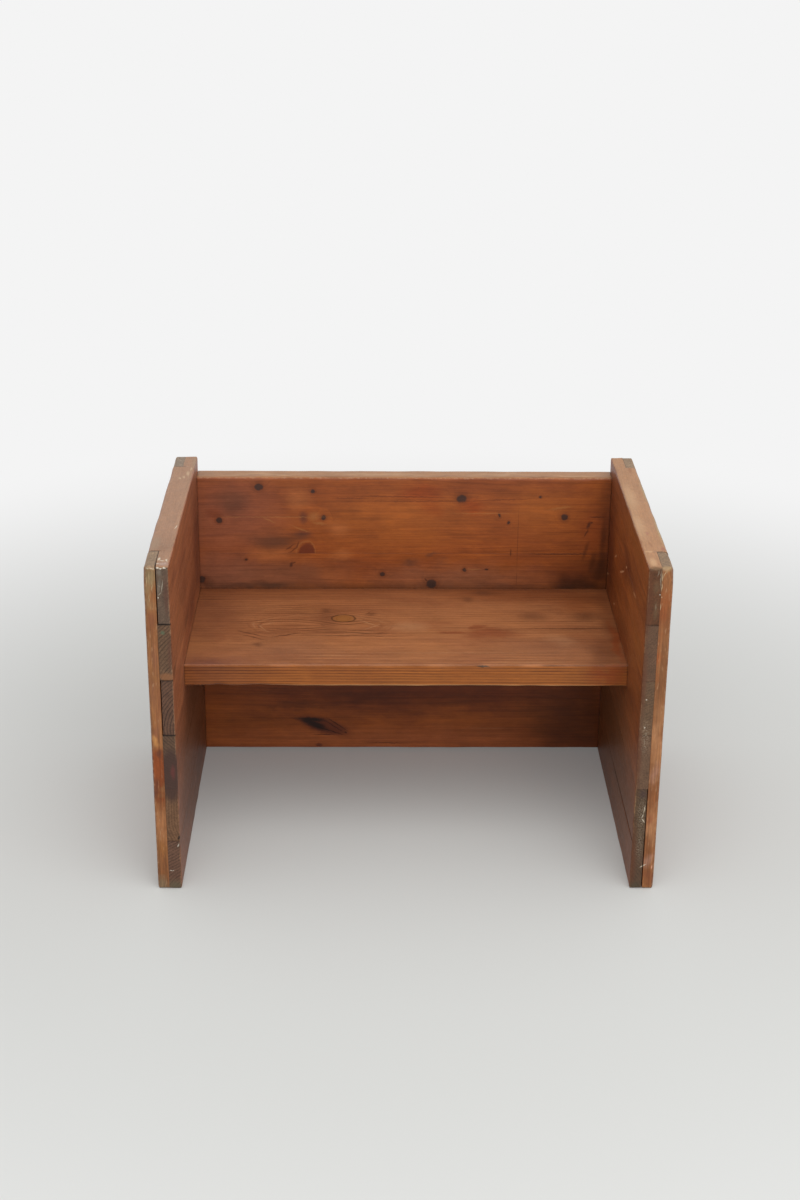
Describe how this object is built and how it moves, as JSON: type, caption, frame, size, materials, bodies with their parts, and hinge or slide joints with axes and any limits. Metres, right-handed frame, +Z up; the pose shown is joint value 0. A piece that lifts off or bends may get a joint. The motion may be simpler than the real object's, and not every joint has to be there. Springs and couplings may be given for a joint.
{
  "type": "plank bench",
  "caption": "Low bench of stained pine with tall lapped plank sides, a thick plank seat set back between them and a boarded back reaching the floor.",
  "frame": {"origin": "bottom centre of the bench's box, on the floor", "axes": "+X along the width to the sitter's left as seen from the front, that is to the viewer's right; +Y from the open front to the back; +Z up"},
  "size_m": [0.75, 0.486, 0.525],
  "materials": {
    "side_boards": "stained pine, worn varnish",
    "stiles": "stained pine, worn varnish",
    "seat": "stained pine, satin varnish",
    "back_boards": "stained pine, satin varnish",
    "dowels": "bare beech"
  },
  "bodies": {
    "root": {"left_side_board_1": "side_boards", "left_side_board_2": "side_boards", "left_side_board_3": "side_boards", "left_side_board_4": "side_boards", "left_side_board_5": "side_boards", "left_side_board_6": "side_boards", "left_front_stile": "stiles", "left_rear_stile": "stiles", "right_side_board_1": "side_boards", "right_side_board_2": "side_boards", "right_side_board_3": "side_boards", "right_side_board_4": "side_boards", "right_side_board_5": "side_boards", "right_side_board_6": "side_boards", "right_front_stile": "stiles", "right_rear_stile": "stiles", "seat_plank": "seat", "back_board_1": "back_boards", "back_board_2": "back_boards", "back_board_3": "back_boards", "left_board_dowels": "dowels", "right_board_dowels": "dowels", "seat_end_dowels": "dowels", "back_end_dowels": "dowels", "seat_rear_dowels": "dowels", "back_board_dowels": "dowels"}
  },
  "joints": []
}
